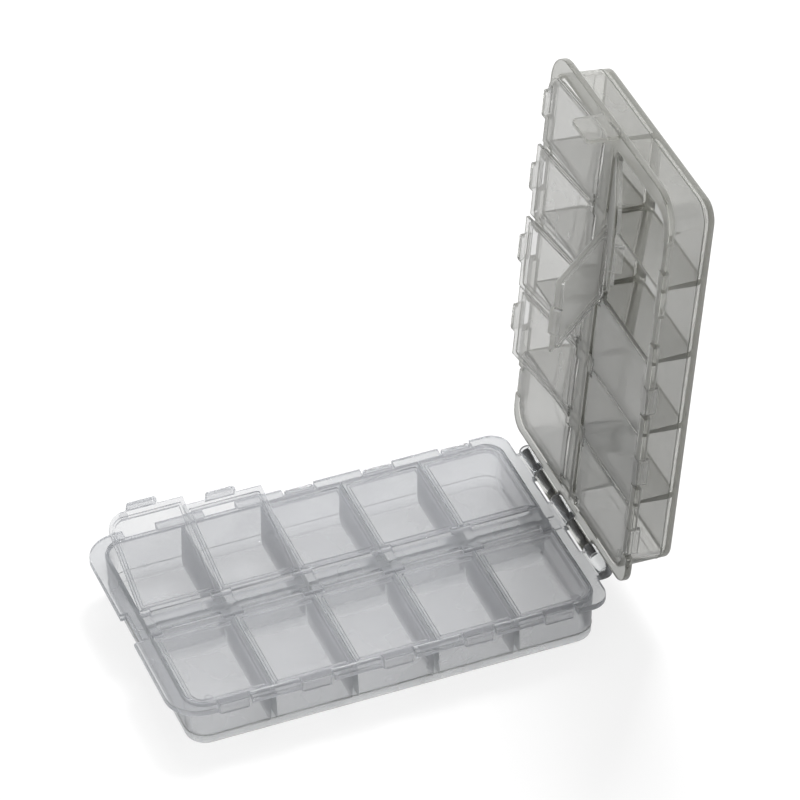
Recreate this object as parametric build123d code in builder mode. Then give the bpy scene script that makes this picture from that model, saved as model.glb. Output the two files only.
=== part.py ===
from build123d import *
import os

# Double-sided fly box: two equal trays on a steel pin, and a row of small lids on each side of each tray.
# Millimetres. X runs from the free end to the hinge end, Y from the front row to the back row, Z up.
# The origin is the centre of the face that the lower tray rests on.

# Rows and compartments
lid_count = 5
lid_pitch = 29.0
row_depth = 43.6
divider = 1.2
spine_wall = 1.6

# Tray shell
tray_height = 18.5
wall = 1.6
floor_thickness = 1.3
draft = 2.5
body_corner = 8.0
foot_radius = 1.2
floor_radius = 3.0

# Rim flange
side_flange = 3.0
free_end_flange = 5.6
hinge_end_flange = 3.0
flange_thickness = 2.4
free_end_corner = 12.0
hinge_end_corner = 7.0
flange_edge = 0.4
seat_rim = 0.6

# Lids
lid_thickness = 1.0
lid_below_rim = 0.1
lid_seat_gap = 0.1
lid_edge_gap = 0.2
skirt_wall = 0.9
skirt_drop = 1.4
skirt_gap = 0.8
skirt_start = 3.0
skirt_corner = 1.2
tab_width = 10.7
tab_gap = 0.6
hook_thickness = 1.25
hook_inset = 1.0
hook_drop = 4.2
hook_gap = 0.15
hook_corner = 1.0
lid_edge = 0.25

# Lid hinges along the spine
spine_width = 6.8
spine_depth = 2.2
spine_gap = 0.6
barrel_radius = 1.3
trunnion_radius = 0.75
trunnion_gap = 0.15
running_clearance = 0.05
ear_width = 7.0
ear_gap = 0.2
ear_wall = 0.65
lid_axis_drop = 1.6

# Main hinge
knuckle_count = 5
knuckle_radius = 2.5
knuckle_gap = 0.3
barrel_length = 71.0
barrel_stand_off = 3.3
pin_radius = 1.1
pin_recess = 1.0
pin_reach_in_last = 4.5
pin_end_gap = 0.2
pin_chamfer = 0.2
parting_gap = 0.3

# Clasp at the free end
tongue_width = 13.5
tongue_length = 11.5
tongue_thickness = 1.6
tongue_corner = 1.5
bead_radius = 0.5
catch_gap = 0.2
catch_side_gap = 0.3
catch_step = 1.0
catch_step_margin = 0.8

# Angles at rest, in degrees: the cover from closed, and each lid from shut, free end first
cover_open = 96.0
lid_open = {
    "base_lid_back": [22.0, 13.0, 0.0, 0.0, 0.0],
    "base_lid_front": [0.0, 0.0, 0.0, 0.0, 0.0],
    "cover_lid_back": [3.5, 6.0, 8.0, 7.5, 0.0],
    "cover_lid_front": [24.0, 48.0, 0.0, 0.0, 0.0],
}

# Sizes that follow from the ones above
body_length = lid_count * lid_pitch - divider + 2 * wall
body_width = spine_wall + 2 * row_depth + 2 * wall
free_x = -body_length / 2 - free_end_flange
hinge_edge_x = body_length / 2 + hinge_end_flange
tray_length = hinge_edge_x - free_x
tray_width = body_width + 2 * side_flange
seat_depth = lid_below_rim + lid_thickness + lid_seat_gap
seat_level = tray_height - seat_depth
pocket_length = lid_pitch - divider
pocket_y = spine_wall / 2 + row_depth / 2
notch_width = tab_width + 2 * tab_gap
recess_half_width = body_width / 2 - seat_rim

lid_axis_y = spine_width / 2 + spine_gap + barrel_radius
lid_axis_z = tray_height - lid_axis_drop
lid_top = lid_axis_drop - lid_below_rim
lid_underside = lid_top - lid_thickness
lid_half_length = lid_pitch / 2 - lid_edge_gap
lid_reach = recess_half_width - lid_edge_gap - lid_axis_y
tab_reach = tray_width / 2 - hook_inset - lid_axis_y
barrel_half = lid_pitch / 2 - ear_width / 2 - ear_gap
ear_radius = trunnion_radius + running_clearance + ear_wall
lid_xs = [(i - (lid_count - 1) / 2) * lid_pitch for i in range(lid_count)]
ear_xs = [(i - lid_count / 2) * lid_pitch for i in range(lid_count + 1)]

hinge_x = hinge_edge_x + barrel_stand_off
hinge_z = tray_height + parting_gap / 2
knuckle_length = (barrel_length - (knuckle_count - 1) * knuckle_gap) / knuckle_count
knuckle_step = knuckle_length + knuckle_gap
knuckle_ys = [(i - (knuckle_count - 1) / 2) * knuckle_step for i in range(knuckle_count)]
bore_radius = pin_radius + running_clearance
pin_start = barrel_length / 2 - pin_recess
pin_stop = -barrel_length / 2 + knuckle_length - pin_reach_in_last


def end_of(i):
    return (i == lid_count - 1) - (i == 0)


def walls():
    with BuildPart() as shape:
        with BuildSketch(Plane.XY.offset(tray_height)):
            RectangleRounded(body_length, body_width, body_corner)
        extrude(amount=-tray_height, taper=draft)
        fillet(shape.faces().sort_by(Axis.Z)[0].edges(), foot_radius)
    return shape.part


def flange():
    with BuildPart() as shape:
        with BuildSketch(Plane.XY.offset(tray_height - flange_thickness)) as outline:
            with Locations(((free_x + hinge_edge_x) / 2, 0)):
                Rectangle(tray_length, tray_width)
            fillet(outline.vertices().group_by(Axis.X)[0], free_end_corner)
            fillet(outline.vertices().group_by(Axis.X)[-1], hinge_end_corner)
        extrude(amount=flange_thickness)
        fillet(shape.faces().filter_by(Axis.Z).edges(), flange_edge)
    return shape.part


def lid_recess():
    with BuildPart() as space:
        with BuildSketch(Plane.XY.offset(seat_level)):
            RectangleRounded(body_length - 2 * seat_rim, 2 * recess_half_width, body_corner - seat_rim)
        extrude(amount=seat_depth)
    return space.part


def pocket(end, side):
    # A divider meets the floor and the walls square. The other edges of the floor are rounded.
    with BuildPart() as space:
        with BuildSketch(Plane.XY.offset(seat_level)) as outline:
            with Locations((0, side * pocket_y)):
                Rectangle(pocket_length, row_depth)
            if end:
                corners = outline.vertices().sort_by(Axis.Y)
                outer = (corners[-2:] if side > 0 else corners[:2]).sort_by(Axis.X)
                fillet(outer[-1] if end > 0 else outer[0], body_corner - wall)
        extrude(amount=floor_thickness - seat_level, taper=draft)
        floor_edges = space.faces().sort_by(Axis.Z)[0].edges().sort_by(Axis.X)
        if end <= 0:
            floor_edges = floor_edges[:-1]
        if end >= 0:
            floor_edges = floor_edges[1:]
        fillet(floor_edges, floor_radius)
    return space.part


def pockets():
    with BuildPart() as spaces:
        for i, x in enumerate(lid_xs):
            for side in (1, -1):
                with Locations((x, 0, 0)):
                    add(pocket(end_of(i), side))
    return spaces.part


def spine():
    with BuildPart() as strip:
        with BuildSketch(Plane.XY.offset(tray_height - spine_depth)):
            Rectangle(body_length - 2 * seat_rim, spine_width)
        extrude(amount=spine_depth)
    return strip.part


def ears():
    to_wall = lid_axis_y - spine_wall / 2
    with BuildPart() as supports:
        for x in ear_xs:
            with BuildSketch(Plane.YZ.offset(x - ear_width / 2)):
                for side in (1, -1):
                    with Locations((side * lid_axis_y, lid_axis_z)):
                        Circle(ear_radius)
                    with Locations((side * (lid_axis_y - to_wall / 2), lid_axis_z)):
                        Rectangle(to_wall, 2 * ear_radius)
            extrude(amount=ear_width)
    return supports.part


def lid_sockets():
    with BuildPart() as holes:
        with Locations((0, lid_axis_y, lid_axis_z), (0, -lid_axis_y, lid_axis_z)):
            Cylinder(trunnion_radius + running_clearance, lid_count * lid_pitch, rotation=(0, 90, 0))
    return holes.part


def tab_notches():
    sill_edge = tray_width / 2 - hook_inset - hook_thickness - hook_gap
    with BuildPart() as spaces:
        for side in (1, -1):
            with BuildSketch(Plane.XY.offset(seat_level)):
                with Locations([(x, side * (recess_half_width + tray_width / 2) / 2) for x in lid_xs]):
                    Rectangle(notch_width, tray_width / 2 - recess_half_width)
            extrude(amount=seat_depth)
            with BuildSketch(Plane.XY.offset(tray_height - flange_thickness)):
                with Locations([(x, side * (sill_edge + tray_width / 2) / 2) for x in lid_xs]):
                    Rectangle(notch_width, tray_width / 2 - sill_edge)
            extrude(amount=flange_thickness)
    return spaces.part


def knuckles(indices):
    root = hinge_edge_x - hinge_end_flange / 2
    with BuildPart() as barrel:
        for i in indices:
            with BuildSketch(Plane.XZ.offset(-knuckle_ys[i] - knuckle_length / 2)):
                with Locations((hinge_x, hinge_z)):
                    Circle(knuckle_radius)
                with Locations(((root + hinge_x) / 2, tray_height - flange_thickness / 2)):
                    Rectangle(hinge_x - root, flange_thickness)
            extrude(amount=knuckle_length)
    return barrel.part


def pin_bore(start, stop):
    with BuildPart() as hole:
        with Locations((hinge_x, (start + stop) / 2, hinge_z)):
            Cylinder(bore_radius, abs(stop - start), rotation=(90, 0, 0))
    return hole.part


def clasp_tongue():
    root_z = tray_height - flange_thickness / 2
    height = flange_thickness / 2 + tongue_length
    bead_z = tray_height + parting_gap + flange_thickness + catch_gap + bead_radius
    with BuildPart() as tongue:
        with BuildSketch(Plane.YZ.offset(free_x)) as outline:
            with Locations((0, root_z + height / 2)):
                Rectangle(tongue_width, height)
            fillet(outline.vertices().group_by(Axis.Y)[-1], tongue_corner)
        extrude(amount=tongue_thickness)
        with Locations((free_x + tongue_thickness, 0, bead_z)):
            Cylinder(bead_radius, tongue_width - 2 * tongue_corner, rotation=(90, 0, 0))
    return tongue.part


def clasp_catch():
    depth = tongue_thickness + bead_radius + catch_gap
    width = tongue_width + 2 * catch_side_gap
    step_depth = depth + catch_step_margin
    step_width = width + 2 * catch_step_margin
    with BuildPart() as slot:
        with BuildSketch(Plane.XY.offset(tray_height - flange_thickness)):
            with Locations((free_x + depth / 2, 0)):
                Rectangle(depth, width)
        extrude(amount=flange_thickness)
        with BuildSketch(Plane.XY.offset(tray_height - catch_step)):
            with Locations((free_x + step_depth / 2, 0)):
                Rectangle(step_depth, step_width)
        extrude(amount=catch_step)
    return slot.part


def tray():
    with BuildPart() as shell:
        add(walls())
        add(flange())
        add(lid_recess(), mode=Mode.SUBTRACT)
        add(pockets(), mode=Mode.SUBTRACT)
        add(spine())
        add(ears())
        add(lid_sockets(), mode=Mode.SUBTRACT)
        add(tab_notches(), mode=Mode.SUBTRACT)
    return shell.part


def rounded_panel(half_length, start, reach, corner_side, corner, small):
    with BuildSketch(mode=Mode.PRIVATE) as panel:
        with Locations((0, (start + reach) / 2)):
            Rectangle(2 * half_length, reach - start)
        outer = panel.vertices().sort_by(Axis.Y)[-2:].sort_by(Axis.X)
        inner = panel.vertices().sort_by(Axis.Y)[:2]
        if corner_side:
            picked = outer[-1:] if corner_side > 0 else outer[:1]
            fillet(picked, corner)
            outer = outer - picked
        fillet(outer + inner, small)
    return panel.sketch


def lid(corner_side):
    # The lid's own frame has its hinge axis along X at the origin, and the lid runs out along +Y.
    skirt_reach = spine_wall / 2 + row_depth - lid_axis_y - skirt_gap
    skirt_half = pocket_length / 2 - skirt_gap
    wall_corner = body_corner - wall - skirt_gap
    with BuildPart() as piece:
        with BuildSketch(Plane.XY.offset(lid_underside)):
            add(rounded_panel(lid_half_length, 0, lid_reach, corner_side, body_corner - seat_rim, 0.5))
            ear_space = ear_radius + ear_gap * 2
            with Locations((lid_half_length, 0), (-lid_half_length, 0)):
                Rectangle(2 * (lid_half_length - barrel_half), 2 * ear_space, mode=Mode.SUBTRACT)
            with Locations((0, (lid_reach - hook_thickness + tab_reach) / 2)):
                Rectangle(tab_width, tab_reach - lid_reach + hook_thickness)
        extrude(amount=lid_thickness)
        with BuildSketch(Plane.XY.offset(lid_underside - skirt_drop)):
            add(rounded_panel(skirt_half, skirt_start, skirt_reach, corner_side, wall_corner, skirt_corner))
            add(
                rounded_panel(
                    skirt_half - skirt_wall,
                    skirt_start + skirt_wall,
                    skirt_reach - skirt_wall,
                    corner_side,
                    wall_corner - skirt_wall,
                    skirt_corner - skirt_wall,
                ),
                mode=Mode.SUBTRACT,
            )
        extrude(amount=skirt_drop)
        with BuildSketch(Plane.XY.offset(lid_top - hook_drop)):
            with Locations((0, tab_reach - hook_thickness / 2)):
                Rectangle(tab_width, hook_thickness)
        extrude(amount=hook_drop)
        fillet(piece.edges().filter_by(Axis.Z).group_by(Axis.Y)[-1], hook_corner)
        fillet(piece.faces().filter_by(Axis.Z).sort_by(Axis.Z)[-1].edges(), lid_edge)
        Cylinder(barrel_radius, 2 * barrel_half, rotation=(0, 90, 0))
        Cylinder(trunnion_radius, lid_pitch - 2 * trunnion_gap, rotation=(0, 90, 0))
    return piece.part


def lid_place(x, side, angle):
    turned = Location((0, 0, 0), (0, 0, 0 if side > 0 else 180))
    return Location((x, side * lid_axis_y, lid_axis_z)) * turned * Location((0, 0, 0), (angle, 0, 0))


# The cover is a tray turned end for end about the hinge and then raised from lying flat open.
to_hinge = Location((hinge_x, 0, hinge_z))
raised = Location((0, 0, 0), (0, cover_open - 180.0, 0))
end_for_end = Location((0, 0, 0), (0, 0, 180))
cover_place = to_hinge * raised * end_for_end * to_hinge.inverse()

os.makedirs("parts", exist_ok=True)

common_tray = tray()

with BuildPart() as base_tray:
    add(common_tray)
    add(knuckles(range(0, knuckle_count, 2)))
    add(pin_bore(pin_stop - pin_end_gap, barrel_length / 2), mode=Mode.SUBTRACT)
    add(clasp_catch(), mode=Mode.SUBTRACT)
base_tray.part.label = "base_tray"
export_step(base_tray.part, "parts/base_tray.step")

with BuildPart() as flat_cover:
    add(common_tray)
    add(knuckles(range(1, knuckle_count, 2)))
    add(pin_bore(-barrel_length / 2, barrel_length / 2), mode=Mode.SUBTRACT)
    add(clasp_tongue())

with BuildPart() as cover_tray:
    add(cover_place * flat_cover.part)
cover_tray.part.label = "cover_tray"
export_step(cover_tray.part, "parts/cover_tray.step")

with BuildPart() as hinge_pin:
    with Locations((hinge_x, (pin_start + pin_stop) / 2, hinge_z)):
        Cylinder(pin_radius, pin_start - pin_stop, rotation=(90, 0, 0))
    chamfer(hinge_pin.faces().filter_by(Axis.Y).edges(), pin_chamfer)
hinge_pin.part.label = "hinge_pin"
export_step(hinge_pin.part, "parts/hinge_pin.step")

# A cover row is named by its side when the box stands open. The turn swaps the cover's own sides.
lid_shapes = {end: lid(end) for end in (-1, 0, 1)}
for row, angles in lid_open.items():
    on_cover = row.startswith("cover")
    side = 1 if row.endswith("back") else -1
    tray_side = -side if on_cover else side
    tray_place = cover_place if on_cover else Location((0, 0, 0))
    for i, angle in enumerate(angles):
        lid_name = f"{row}_{i + 1}"
        with BuildPart() as small_lid:
            add(tray_place * lid_place(lid_xs[i], tray_side, angle) * lid_shapes[end_of(i) * tray_side])
        small_lid.part.label = lid_name
        export_step(small_lid.part, f"parts/{lid_name}.step")
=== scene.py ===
import math

import bpy
import bmesh
from mathutils import Euler, Matrix, Vector


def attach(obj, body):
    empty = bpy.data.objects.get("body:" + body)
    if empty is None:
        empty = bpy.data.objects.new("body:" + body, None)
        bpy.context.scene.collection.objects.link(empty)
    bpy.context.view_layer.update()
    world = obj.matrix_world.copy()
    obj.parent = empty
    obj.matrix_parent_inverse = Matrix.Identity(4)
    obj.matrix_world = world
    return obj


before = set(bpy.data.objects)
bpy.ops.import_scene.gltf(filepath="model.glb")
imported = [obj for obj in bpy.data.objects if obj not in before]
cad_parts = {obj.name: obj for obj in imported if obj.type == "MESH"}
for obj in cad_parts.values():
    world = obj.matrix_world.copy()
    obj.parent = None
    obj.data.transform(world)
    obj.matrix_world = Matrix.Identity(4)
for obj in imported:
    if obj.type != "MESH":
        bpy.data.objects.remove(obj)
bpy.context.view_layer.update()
scene = bpy.context.scene
mm = 0.001

# main sizes of the part in mm and degrees; a tray's Z is up when it lies open side up
tray = {
    "length": 147.0,
    "width": 92.0,
    "height": 18.5,
    "corner": 8.0,
    "draft": 2.5,
    "hingeX": 79.8,
    "hingeZ": 18.65,
    "coverOpen": 96.0,
    "lidPitch": 29.0,
    "lidAxisY": 5.3,
    "lidAxisZ": 16.9,
    "lidTop": 1.5,
}
print("frame loaded,", len(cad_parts), "nodes")


# node helpers: a term is a number or another node's output
def newMaterial(name):
    material = bpy.data.materials.new(name)
    material.use_nodes = True
    tree = material.node_tree
    tree.nodes.clear()
    return material, tree


def addNode(tree, kind, **inputs):
    node = tree.nodes.new(kind)
    for label, value in inputs.items():
        node.inputs[label.replace("_", " ")].default_value = value
    return node


def setTerm(tree, socket, term):
    if isinstance(term, float):
        socket.default_value = term
    else:
        tree.links.new(term, socket)


def addMath(tree, operation, *terms):
    node = tree.nodes.new("ShaderNodeMath")
    node.operation = operation
    for socket, term in zip(node.inputs, terms):
        setTerm(tree, socket, term)
    return node


def addMix(tree, share, first, second):
    # share 0 gives the first shader, 1 the second
    node = tree.nodes.new("ShaderNodeMixShader")
    for socket, term in zip(node.inputs, (share, first, second)):
        setTerm(tree, socket, term)
    return node.outputs["Shader"]


def addRange(tree, source, low, high, start, end):
    # spreads low..high over start..end
    node = addNode(tree, "ShaderNodeMapRange", From_Min=low, From_Max=high, To_Min=start, To_Max=end)
    tree.links.new(source, node.inputs["Value"])
    return node.outputs["Result"]


def addNoise(tree, place, scale, detail, roughness=0.5):
    node = addNode(tree, "ShaderNodeTexNoise", Scale=scale, Detail=detail, Roughness=roughness)
    tree.links.new(place, node.inputs["Vector"])
    return node.outputs["Fac"]


def addBump(tree, height, strength, distance):
    node = addNode(tree, "ShaderNodeBump", Strength=strength, Distance=distance)
    tree.links.new(height, node.inputs["Height"])
    return node.outputs["Normal"]


# plastic
plasticLook = {
    "glass": (1.0, 1.0, 1.0, 1.0),
    "ior": 1.4,
    "roughness": 0.05,
    "shadowTint": (0.79, 0.79, 0.79, 1.0),   # what one face lets through to a lamp
    "hazeRoughness": 0.6,
    "backlit": 0.5,                          # how much of the haze glows from light behind it
    "edgePower": 2.0,                        # how soon the haze gathers towards the edges
    "grainScale": 900.0,
    "grainStrength": 0.02,
    "grainDepth": 0.1 * mm,
    "cloudScale": 45.0,
    "cloudFrom": 0.3,
    "cloudTo": 0.7,
    "cloudSpread": 0.15,                     # the haze is this much thinner or thicker in its clouds
    "knuckleHaze": 0.3,                      # the knuckles are polished, so that the pin shows
    "knuckleFrom": 2.6 * mm,
    "knuckleTo": 3.2 * mm,
}

# haze colour, its share square on and edge on, then what a long way through leaves and how fast
plasticKinds = {
    "basePlastic": {
        "haze": (0.78, 0.79, 0.82, 1.0), "share": 0.24, "edge": 0.42,
        "left": (0.80, 0.81, 0.81, 1.0), "density": 250.0,
    },
    "baseLidPlastic": {
        "haze": (0.78, 0.79, 0.82, 1.0), "share": 0.18, "edge": 0.46,
        "left": (0.80, 0.81, 0.81, 1.0), "density": 140.0,
    },
    # painted shade: the cover is the base's plastic, given a darker, warmer haze and warmer absorption so that
    # the standing cover looks shaded
    "coverPlasticPaintedShade": {
        "haze": (0.57, 0.57, 0.55, 1.0), "share": 0.13, "edge": 1.05,
        "left": (0.78, 0.78, 0.74, 1.0), "density": 200.0,
    },
    # the cover's lids: the base lids' plastic with darker, warmer haze, painted shade as on the cover
    "coverLidPlasticPaintedShade": {
        "haze": (0.60, 0.60, 0.58, 1.0), "share": 0.07, "edge": 0.95,
        "left": (0.78, 0.78, 0.74, 1.0), "density": 90.0,
    },
    # dark grey haze over most of its face: painted shade for the dark line low on the trays' walls
    "shadeLinePlastic": {
        "haze": (0.36, 0.37, 0.34, 1.0), "share": 0.75, "edge": 0.2,
        "left": (0.78, 0.79, 0.76, 1.0), "density": 90.0,
    },
}


def hazeShare(tree, place, own):
    facing = addNode(tree, "ShaderNodeLayerWeight", Blend=0.5)
    edge = addMath(tree, "POWER", facing.outputs["Facing"], plasticLook["edgePower"])
    clouds = addNoise(tree, place, plasticLook["cloudScale"], 3.0)
    cloudy = addRange(
        tree,
        clouds,
        plasticLook["cloudFrom"],
        plasticLook["cloudTo"],
        own["share"] * (1.0 - plasticLook["cloudSpread"]),
        own["share"] * (1.0 + plasticLook["cloudSpread"]),
    )
    share = addMath(tree, "MULTIPLY_ADD", edge.outputs[0], own["edge"], cloudy)
    share.use_clamp = True

    # less haze near the hinge axis
    fromPin = addNode(
        tree,
        "ShaderNodeMapping",
        Location=(-tray["hingeX"] * mm, 0.0, -tray["hingeZ"] * mm),
        Scale=(1.0, 0.0, 1.0),
    )
    tree.links.new(place, fromPin.inputs["Vector"])
    span = addNode(tree, "ShaderNodeVectorMath")
    span.operation = "LENGTH"
    tree.links.new(fromPin.outputs["Vector"], span.inputs[0])
    polished = addRange(
        tree,
        span.outputs["Value"],
        plasticLook["knuckleFrom"],
        plasticLook["knuckleTo"],
        plasticLook["knuckleHaze"],
        1.0,
    )
    return addMath(tree, "MULTIPLY", share.outputs[0], polished).outputs[0]


def plasticMaterial(name, own):
    material, tree = newMaterial(name)
    link = tree.links.new
    place = addNode(tree, "ShaderNodeTexCoord").outputs["Object"]

    # clear resin with a fine grain, which lets lamp light and bounced light through
    glass = addNode(
        tree,
        "ShaderNodeBsdfGlass",
        Color=plasticLook["glass"],
        Roughness=plasticLook["roughness"],
        IOR=plasticLook["ior"],
    )
    grain = addNoise(tree, place, plasticLook["grainScale"], 2.0, 0.6)
    link(addBump(tree, grain, plasticLook["grainStrength"], plasticLook["grainDepth"]), glass.inputs["Normal"])
    through = addNode(tree, "ShaderNodeBsdfTransparent", Color=plasticLook["shadowTint"]).outputs["BSDF"]
    rays = addNode(tree, "ShaderNodeLightPath")
    clear = addMix(tree, rays.outputs["Is Shadow Ray"], glass.outputs["BSDF"], through)
    clear = addMix(tree, rays.outputs["Is Diffuse Ray"], clear, through)

    # haze in it, lit from both sides
    lit = addNode(tree, "ShaderNodeBsdfDiffuse", Color=own["haze"], Roughness=plasticLook["hazeRoughness"])
    glow = addNode(tree, "ShaderNodeBsdfTranslucent", Color=own["haze"])
    haze = addMix(tree, plasticLook["backlit"], lit.outputs["BSDF"], glow.outputs["BSDF"])
    body = addMix(tree, hazeShare(tree, place, own), clear, haze)

    inside = addNode(tree, "ShaderNodeVolumeAbsorption", Color=own["left"], Density=own["density"])
    output = addNode(tree, "ShaderNodeOutputMaterial")
    link(body, output.inputs["Surface"])
    link(inside.outputs["Volume"], output.inputs["Volume"])
    return material


plastics = {name: plasticMaterial(name, own) for name, own in plasticKinds.items()}

# steel, drawn along the pin; its near-black colour is painted shade, the dark reflections the pin shows
steelLook = {
    "color": (0.010, 0.010, 0.009, 1.0),
    "smoothest": 0.24,
    "roughest": 0.42,
    "drawnScale": 2600.0,
    "drawnLength": 0.02,
    "drawnStrength": 0.08,
    "drawnDepth": 0.1 * mm,
}


def steelMaterial(name):
    material, tree = newMaterial(name)
    link = tree.links.new
    place = addNode(tree, "ShaderNodeTexCoord")
    stretch = addNode(tree, "ShaderNodeMapping", Scale=(1.0, steelLook["drawnLength"], 1.0))
    link(place.outputs["Object"], stretch.inputs["Vector"])
    lines = addNoise(tree, stretch.outputs["Vector"], steelLook["drawnScale"], 3.0)
    shine = addNode(tree, "ShaderNodeBsdfPrincipled", Base_Color=steelLook["color"], Metallic=1.0)
    link(
        addRange(tree, lines, 0.0, 1.0, steelLook["smoothest"], steelLook["roughest"]),
        shine.inputs["Roughness"],
    )
    link(addBump(tree, lines, steelLook["drawnStrength"], steelLook["drawnDepth"]), shine.inputs["Normal"])
    output = addNode(tree, "ShaderNodeOutputMaterial")
    link(shine.outputs["BSDF"], output.inputs["Surface"])
    return material


drawnSteel = steelMaterial("drawnSteel")
print("materials made")

# moulded edges of the CAD nodes, and the smoothing of the new pieces
edgeFinish = {"weld": 0.01 * mm, "width": 0.12 * mm, "segments": 2, "angle": 32.0, "smooth": 35.0}


def finishNode(node, material):
    node.data.materials.clear()
    node.data.materials.append(material)
    weld = node.modifiers.new("weld", "WELD")
    weld.merge_threshold = edgeFinish["weld"]
    bevel = node.modifiers.new("edge", "BEVEL")
    bevel.limit_method = "ANGLE"
    bevel.angle_limit = math.radians(edgeFinish["angle"])
    bevel.width = edgeFinish["width"]
    bevel.segments = edgeFinish["segments"]
    bevel.use_clamp_overlap = True
    bevel.harden_normals = False


for name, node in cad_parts.items():
    if name == "hinge_pin":
        finishNode(node, drawnSteel)
    elif name.startswith("base_lid"):
        finishNode(node, plastics["baseLidPlastic"])
    elif name.startswith("cover_lid"):
        finishNode(node, plastics["coverLidPlasticPaintedShade"])
    elif name == "base_tray":
        finishNode(node, plastics["basePlastic"])
    else:
        finishNode(node, plastics["coverPlasticPaintedShade"])
print("nodes dressed")


# places of the moulded details, from a tray lying open side up
def trayPlace(onCover):
    if not onCover:
        return Matrix.Identity(4)
    hinge = Matrix.Translation((tray["hingeX"] * mm, 0.0, tray["hingeZ"] * mm))
    raised = Matrix.Rotation(math.radians(tray["coverOpen"] - 180.0), 4, "Y")
    endForEnd = Matrix.Rotation(math.pi, 4, "Z")
    return hinge @ raised @ endForEnd @ hinge.inverted()


def lidPlace(onCover, index, side, angle):
    axis = Matrix.Translation(
        ((index - 3) * tray["lidPitch"] * mm, side * tray["lidAxisY"] * mm, tray["lidAxisZ"] * mm)
    )
    turned = Matrix.Rotation(0.0 if side > 0 else math.pi, 4, "Z")
    opened = Matrix.Rotation(math.radians(angle), 4, "X")
    return trayPlace(onCover) @ axis @ turned @ opened


def selectNothing():
    bpy.ops.object.select_all(action="DESELECT")


def selectTopFaces(piece):
    # in edit mode, by their normal
    bpy.ops.mesh.select_all(action="DESELECT")
    bpy.ops.mesh.select_mode(type="FACE")
    cage = bmesh.from_edit_mesh(piece.data)
    for face in cage.faces:
        face.select_set(face.normal.z > 0.9)
    bmesh.update_edit_mesh(piece.data)


def settle(piece, place, material, body):
    # the piece's place goes into its mesh, and its object stays at the origin
    selectNothing()
    piece.select_set(True)
    bpy.context.view_layer.objects.active = piece
    bpy.ops.object.transform_apply(location=True, rotation=True, scale=True)
    piece.data.transform(place)
    piece.data.materials.clear()
    piece.data.materials.append(material)
    bpy.ops.object.shade_smooth_by_angle(angle=math.radians(edgeFinish["smooth"]))
    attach(piece, body)


# painted shade: a thin dark line round each tray's outer wall, low down, in mm
shadeLine = {"height": 4.1, "tube": 0.13, "tubeSteps": 2, "cornerSteps": 10}


def makeShadeLine(name, onCover, body):
    inset = (tray["height"] - shadeLine["height"]) * math.tan(math.radians(tray["draft"]))
    selectNothing()
    bpy.ops.mesh.primitive_plane_add(size=mm, location=(0, 0, shadeLine["height"] * mm))
    piece = bpy.context.object
    piece.name = name
    bpy.ops.object.mode_set(mode="EDIT")
    bpy.ops.transform.resize(value=(tray["length"] - 2 * inset, tray["width"] - 2 * inset, 1.0))
    bpy.ops.mesh.bevel(
        offset=(tray["corner"] - inset) * mm,
        segments=shadeLine["cornerSteps"],
        affect="VERTICES",
        clamp_overlap=False,
    )
    bpy.ops.mesh.delete(type="ONLY_FACE")
    bpy.ops.object.mode_set(mode="OBJECT")
    bpy.ops.object.convert(target="CURVE")
    piece.data.bevel_depth = shadeLine["tube"] * mm
    piece.data.bevel_resolution = shadeLine["tubeSteps"]
    bpy.ops.object.convert(target="MESH")
    settle(bpy.context.object, trayPlace(onCover), plastics["shadeLinePlastic"], body)


# a thin dark tube of painted shade round the foot of each tray
makeShadeLine("base_shade_line", False, "base")
makeShadeLine("cover_shade_line", True, "cover")
print("step lines made")

# round ejector marks on the outer corner of each end lid, in mm
ejectorMark = {
    "radius": 1.7,
    "steps": 36,
    "thickness": 0.16,
    "proud": 0.08,
    "rim": 0.3,
    "dish": 0.07,
    "alongX": 7.6,
    "alongY": 37.9,
}
# side of the spine, and how far each marked lid stands open
lidRows = {
    "base_lid_back": {"onCover": False, "side": 1, "angles": {1: 22.0, 5: 0.0}},
    "base_lid_front": {"onCover": False, "side": -1, "angles": {1: 0.0, 5: 0.0}},
    "cover_lid_back": {"onCover": True, "side": -1, "angles": {1: 3.5, 5: 0.0}},
    "cover_lid_front": {"onCover": True, "side": 1, "angles": {1: 24.0, 5: 0.0}},
}


def makeMark():
    selectNothing()
    bpy.ops.mesh.primitive_cylinder_add(
        vertices=ejectorMark["steps"],
        radius=ejectorMark["radius"] * mm,
        depth=ejectorMark["thickness"] * mm,
        location=(0, 0, 0),
    )
    piece = bpy.context.object
    bpy.ops.object.mode_set(mode="EDIT")
    selectTopFaces(piece)
    bpy.ops.mesh.inset(thickness=ejectorMark["rim"] * mm)
    bpy.ops.transform.translate(value=(0, 0, -ejectorMark["dish"] * mm))
    bpy.ops.mesh.inset(thickness=ejectorMark["rim"] * mm)
    bpy.ops.object.mode_set(mode="OBJECT")
    return piece


def placeMark(firstMark, rowName, index):
    row = lidRows[rowName]
    mark = firstMark.copy()
    mark.data = firstMark.data.copy()
    scene.collection.objects.link(mark)
    mark.name = f"{rowName}_{index}_mark"
    outward = 1 if index == 5 else -1
    top = tray["lidTop"] + ejectorMark["proud"] - ejectorMark["thickness"] / 2
    spot = Matrix.Translation(
        (
            outward * row["side"] * ejectorMark["alongX"] * mm,
            ejectorMark["alongY"] * mm,
            top * mm,
        )
    )
    plastic = plastics["coverLidPlasticPaintedShade" if row["onCover"] else "baseLidPlastic"]
    place = lidPlace(row["onCover"], index, row["side"], row["angles"][index]) @ spot
    settle(mark, place, plastic, f"{rowName}_{index}")


firstMark = makeMark()
for rowName, row in lidRows.items():
    for index in row["angles"]:
        placeMark(firstMark, rowName, index)
bpy.data.objects.remove(firstMark)
print("ejector marks made")

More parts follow.
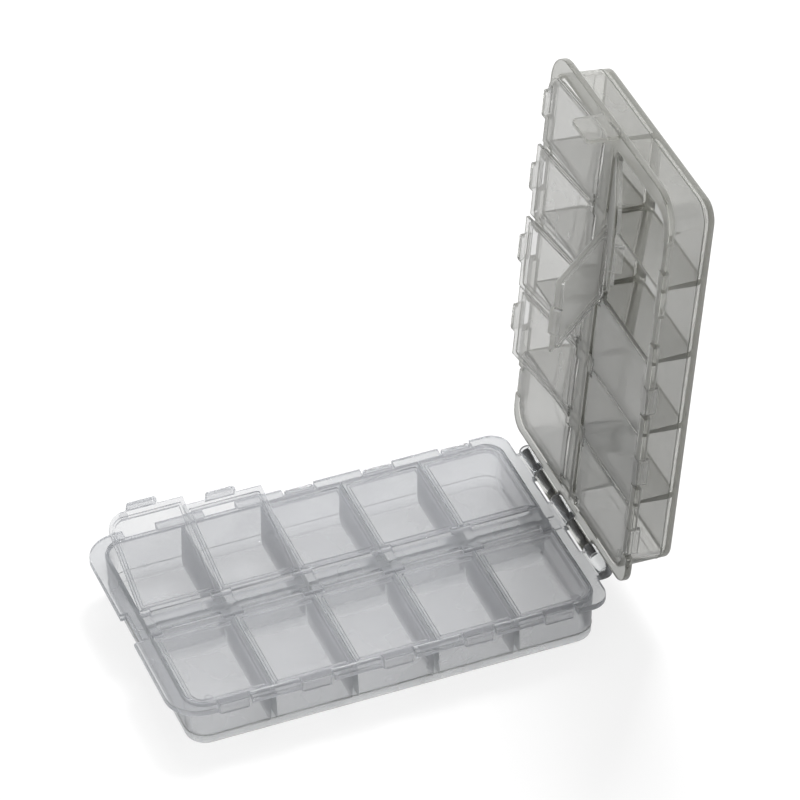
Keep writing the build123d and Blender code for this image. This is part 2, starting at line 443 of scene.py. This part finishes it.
# domed ends of the steel pin, in mm
pinCap = {
    "radius": 1.04,
    "steps": 32,
    "length": 0.7,
    "proud": 0.1,
    "crown": 0.22,
    "flat": 0.5,
    "farY": 34.6,
    "nearY": -26.04,
    "rounding": 0.12,
    "roundingSteps": 3,
    "roundingAngle": 15.0,
}


def makePinCap(name, endY, outward):
    selectNothing()
    bpy.ops.mesh.primitive_cylinder_add(
        vertices=pinCap["steps"],
        radius=pinCap["radius"] * mm,
        depth=pinCap["length"] * mm,
        location=(0, 0, 0),
    )
    piece = bpy.context.object
    piece.name = name
    bpy.ops.object.mode_set(mode="EDIT")
    selectTopFaces(piece)
    bpy.ops.mesh.inset(thickness=pinCap["flat"] * mm)
    bpy.ops.transform.translate(value=(0, 0, pinCap["crown"] * mm))
    bpy.ops.object.mode_set(mode="OBJECT")
    rounding = piece.modifiers.new("rounding", "BEVEL")
    rounding.width = pinCap["rounding"] * mm
    rounding.segments = pinCap["roundingSteps"]
    rounding.angle_limit = math.radians(pinCap["roundingAngle"])
    bpy.ops.object.modifier_apply(modifier="rounding")
    middleY = endY + outward * (pinCap["proud"] - pinCap["length"] / 2)
    spot = Matrix.Translation((tray["hingeX"] * mm, middleY * mm, tray["hingeZ"] * mm))
    turn = Matrix.Rotation(-outward * math.pi / 2, 4, "X")
    settle(piece, spot @ turn, drawnSteel, "pin")


makePinCap("pin_end_far", pinCap["farY"], 1)
makePinCap("pin_end_near", pinCap["nearY"], -1)
print("pin ends made")

# floor, world and lights
stageLook = {
    "floorSize": 6.0,
    "floorColor": (0.9, 0.9, 0.9, 1.0),
    "bounceColor": (0.4, 0.4, 0.4, 1.0),     # the floor as a light on the box
    "white": (1.0, 1.0, 1.0, 1.0),
    "whiteShare": 0.80,                      # plain white in the floor, so that it keeps a faint shadow
    "backdropWhite": 0.3,                    # the backdrop is white up to this height of view
    "backdropTop": 0.75,
    "ceiling": 0.3,                          # and this grey at the top
    "ambient": 0.68,                         # soft light from all round
    "ambientLow": 0.5,                       # its share at floor level
}


def seenBackground(tree):
    # 1 for what the camera looks at, in a reflection or through the plastic too
    rays = addNode(tree, "ShaderNodeLightPath")
    seen = rays.outputs["Is Camera Ray"]
    for label in ("Is Glossy Ray", "Is Transmission Ray"):
        seen = addMath(tree, "MAXIMUM", seen, rays.outputs[label]).outputs[0]
    return seen


def makeFloor():
    selectNothing()
    bpy.ops.mesh.primitive_plane_add(size=stageLook["floorSize"], location=(0, 0, 0))
    floor = bpy.context.object
    floor.name = "floor"
    material, tree = newMaterial("paleFloor")
    lit = addNode(tree, "ShaderNodeBsdfDiffuse", Color=stageLook["floorColor"])
    dull = addNode(tree, "ShaderNodeBsdfDiffuse", Color=stageLook["bounceColor"])
    white = addNode(tree, "ShaderNodeEmission", Color=stageLook["white"], Strength=1.0)
    share = addMath(tree, "MULTIPLY", seenBackground(tree), stageLook["whiteShare"])
    pale = addMix(tree, share.outputs[0], lit.outputs["BSDF"], white.outputs["Emission"])
    rays = addNode(tree, "ShaderNodeLightPath")
    surface = addMix(tree, rays.outputs["Is Diffuse Ray"], pale, dull.outputs["BSDF"])
    output = addNode(tree, "ShaderNodeOutputMaterial")
    tree.links.new(surface, output.inputs["Surface"])
    floor.data.materials.append(material)


def makeWorld():
    world = bpy.data.worlds.new("studio")
    scene.world = world
    world.use_nodes = True
    tree = world.node_tree
    tree.nodes.clear()
    link = tree.links.new
    direction = addNode(tree, "ShaderNodeTexCoord")
    parts = addNode(tree, "ShaderNodeSeparateXYZ")
    link(direction.outputs["Generated"], parts.inputs["Vector"])
    height = parts.outputs["Z"]

    backdrop = addNode(tree, "ShaderNodeBackground", Strength=1.0)
    link(
        addRange(
            tree,
            height,
            stageLook["backdropWhite"],
            stageLook["backdropTop"],
            1.0,
            stageLook["ceiling"],
        ),
        backdrop.inputs["Color"],
    )
    soft = addNode(tree, "ShaderNodeBackground", Strength=stageLook["ambient"])
    link(addRange(tree, height, 0.0, 1.0, stageLook["ambientLow"], 1.0), soft.inputs["Color"])
    surface = addMix(tree, seenBackground(tree), soft.outputs["Background"], backdrop.outputs["Background"])
    output = addNode(tree, "ShaderNodeOutputWorld")
    link(surface, output.inputs["Surface"])


lamps = {
    "behindRight": {"place": (0.45, 0.62, 1.1), "aim": (0.0, 0.0, 0.03), "size": 0.4, "watts": 24.0},
}


def makeLamp(name, look):
    selectNothing()
    bpy.ops.object.light_add(type="AREA", location=look["place"])
    lamp = bpy.context.object
    lamp.name = name
    lamp.data.shape = "SQUARE"
    lamp.data.size = look["size"]
    lamp.data.energy = look["watts"]
    lamp.visible_glossy = False          # its mirror image would blow out the opened lids
    lamp.visible_transmission = False
    aim = Vector(look["aim"]) - Vector(look["place"])
    lamp.rotation_euler = aim.to_track_quat("-Z", "Y").to_euler()


makeFloor()
makeWorld()
for name, look in lamps.items():
    makeLamp(name, look)
print("stage and lights made")

# camera at the photo's viewing angle, and how deep light goes into the plastic
cameraView = {
    "place": (-0.4821, -1.345, 1.2273),
    "azimuth": -20.49,
    "elevation": 38.49,
    "roll": -1.47,
    "lens": 248.7,
    "sensor": 36.0,
    "near": 0.05,
    "far": 20.0,
}
lightDepth = {"transparent": 48, "bounces": 16}


def makeCamera(look):
    data = bpy.data.cameras.new("camera")
    camera = bpy.data.objects.new("camera", data)
    scene.collection.objects.link(camera)
    tilt = math.radians(90.0 - look["elevation"])
    aim = Euler((tilt, 0, math.radians(look["azimuth"]))).to_matrix()
    roll = Euler((0, 0, math.radians(look["roll"]))).to_matrix()
    camera.rotation_euler = (aim @ roll).to_euler()
    camera.location = look["place"]
    data.lens = look["lens"]
    data.sensor_width = look["sensor"]
    data.clip_start = look["near"]
    data.clip_end = look["far"]
    scene.camera = camera


makeCamera(cameraView)
scene.view_settings.view_transform = "Standard"
scene.cycles.transparent_max_bounces = lightDepth["transparent"]
scene.cycles.max_bounces = lightDepth["bounces"]
print("camera made")
